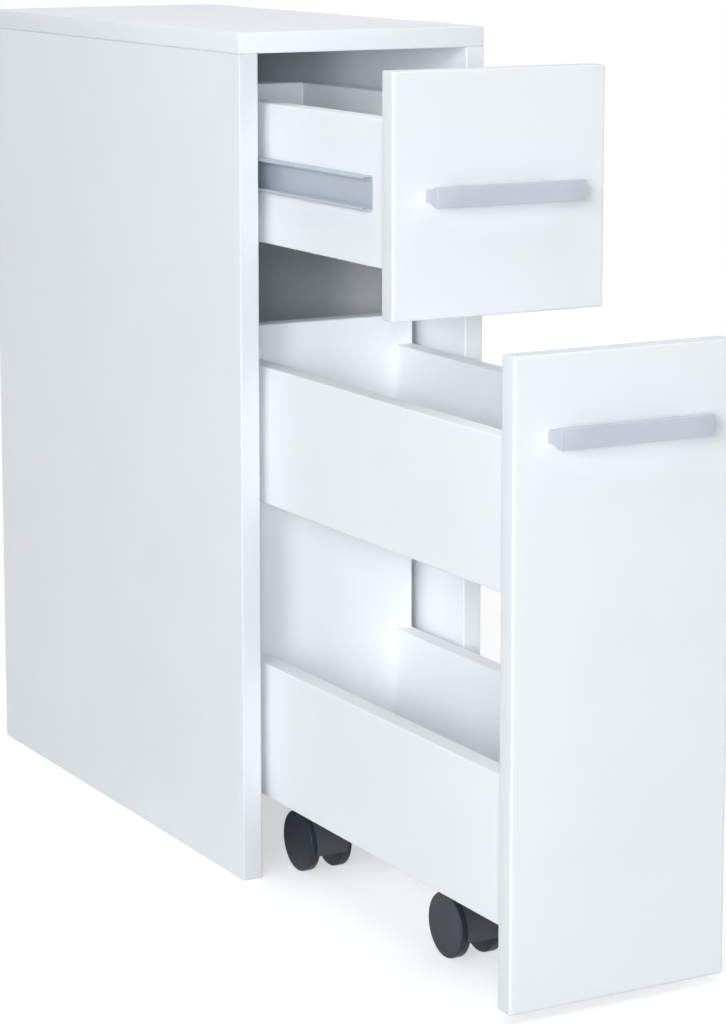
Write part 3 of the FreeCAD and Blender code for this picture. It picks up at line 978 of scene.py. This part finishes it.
@dataclass
class Studio:
    """A pale floor, soft lamps and the camera at the photograph's viewing angle."""

    floor_reach: float = 30.0
    floor_bounce: float = 0.60
    floor_glow: float = 0.56
    fade_start: float = 0.5
    fade_end: float = 1.2
    fade_centre: Vector = Vector((0.0, -0.4, 0.0))
    sky_light: float = 0.098
    light_bounces: int = 32
    lamps: tuple[Lamp, ...] = (
        Lamp("left_key", Vector((-2.98, -3.65, 1.25)), 0.8, 73.5, (1.0, 0.995, 1.0), tall=2.6),
        Lamp("left_fill", Vector((-3.80, -2.47, 1.70)), 0.9, 46.0, (0.85, 0.94, 1.0)),
        Lamp("front_fill", Vector((-4.32, -8.25, 1.55)), 1.6, 83.0, (0.98, 0.99, 1.0)),
        Lamp("camera_fill", Vector((-1.09, -2.43, 0.74)), 0.3, 9.5, (0.80, 0.90, 1.0)),
        Lamp(
            "overhead",
            Vector((-0.20, -0.60, 3.00)),
            3.0,
            47.0,
            (0.92, 0.95, 1.0),
            aim=Vector((-0.2, -0.6, 0.0)),
        ),
        Lamp("right_fill", Vector((4.60, 0.40, 1.40)), 1.8, 90.0),
        Lamp("back_fill", Vector((1.50, 4.50, 0.30)), 2.0, 102.0, tall=0.25),
    )
    camera_place: Vector = Vector((-1.0814, -2.4050, 0.7225))
    camera_yaw: float = 28.928
    camera_pitch: float = 8.778
    camera_lens: float = 109.68
    camera_shift: float = -0.15

    def seen_rays(self, kit: NodeKit) -> bpy.types.NodeSocket:
        """A value of 1 for rays that show the background: seen, mirrored or through glass.

        Args:
            kit: The nodes of the floor or the world.

        Returns:
            The value.
        """
        path = kit.add("ShaderNodeLightPath").outputs
        either = kit.reckon("MAXIMUM", path["Is Camera Ray"], path["Is Glossy Ray"])
        return kit.reckon("MAXIMUM", either, path["Is Transmission Ray"])

    def floor(self) -> None:
        """Lays a floor that keeps the object's shadow and fades to white away from it."""
        mesh = bpy.data.meshes.new("floor")
        reach = self.floor_reach
        signs = ((-1, -1), (1, -1), (1, 1), (-1, 1))
        corners = [(reach * x, reach * y, 0.0) for x, y in signs]
        mesh.from_pydata(corners, [], [(0, 1, 2, 3)])
        ground = bpy.data.objects.new("floor", mesh)
        bpy.context.scene.collection.objects.link(ground)
        mesh.materials.append(self.floor_material())

    def floor_material(self) -> bpy.types.Material:
        """Makes the floor's material, pale near the object and white away from it.

        Returns:
            The material.
        """
        material = bpy.data.materials.new("pale_floor")
        material.use_nodes = True
        tree = material.node_tree
        tree.nodes.clear()
        kit = NodeKit(tree)
        seen = self.seen_rays(kit)
        pale = opaque((self.floor_bounce, self.floor_bounce, self.floor_bounce))
        matt = kit.add("ShaderNodeBsdfDiffuse", {"Color": pale}).outputs[0]
        glow = kit.reckon("MULTIPLY", seen, self.floor_glow)
        light = kit.add("ShaderNodeEmission", {"Strength": glow}).outputs[0]
        near = kit.add("ShaderNodeAddShader", {0: matt, 1: light}).outputs[0]
        white = kit.add("ShaderNodeEmission").outputs[0]
        place = kit.add("ShaderNodeTexCoord").outputs["Object"]
        ends = {0: place, 1: self.fade_centre}
        away = kit.add("ShaderNodeVectorMath", ends, operation="DISTANCE").outputs["Value"]
        fade = {"Value": away, "From Min": self.fade_start, "From Max": self.fade_end}
        far = kit.add("ShaderNodeMapRange", fade, interpolation_type="SMOOTHSTEP").outputs["Result"]
        share = kit.reckon("MULTIPLY", seen, far)
        both = kit.add("ShaderNodeMixShader", {0: share, 1: near, 2: white}).outputs[0]
        kit.add("ShaderNodeOutputMaterial", {"Surface": both})
        return material

    def sky(self) -> None:
        """Lights the room evenly and shows white behind the object."""
        world = bpy.data.worlds.new("studio")
        bpy.context.scene.world = world
        world.use_nodes = True
        tree = world.node_tree
        tree.nodes.clear()
        kit = NodeKit(tree)
        level = {"Value": self.seen_rays(kit), "To Min": self.sky_light, "To Max": 1.0}
        strength = kit.add("ShaderNodeMapRange", level).outputs["Result"]
        light = kit.add("ShaderNodeBackground", {"Color": opaque(PLAIN_LIGHT), "Strength": strength})
        kit.add("ShaderNodeOutputWorld", {"Surface": light.outputs[0]})

    def camera(self) -> None:
        """Sets the camera up as the photograph was taken."""
        data = bpy.data.cameras.new("camera")
        data.lens = self.camera_lens
        data.shift_y = self.camera_shift
        view = bpy.data.objects.new("camera", data)
        view.location = self.camera_place
        tilt = math.radians(QUARTER_TURN - self.camera_pitch)
        view.rotation_euler = Euler((tilt, 0.0, -math.radians(self.camera_yaw)))
        bpy.context.scene.collection.objects.link(view)
        bpy.context.scene.camera = view

    def set_up(self) -> None:
        """Sets up the floor, the light and the camera."""
        scene = bpy.context.scene
        scene.view_settings.view_transform = "Standard"
        scene.cycles.max_bounces = self.light_bounces
        scene.cycles.diffuse_bounces = self.light_bounces
        self.floor()
        self.sky()
        for lamp in self.lamps:
            lamp.hang()
        self.camera()


def main() -> None:
    """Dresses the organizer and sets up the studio."""
    logging.basicConfig(level=logging.INFO, format="%(name)s: %(message)s")
    Cabinet().dress(Bench())
    Studio().set_up()


if __name__ == "__main__":
    main()
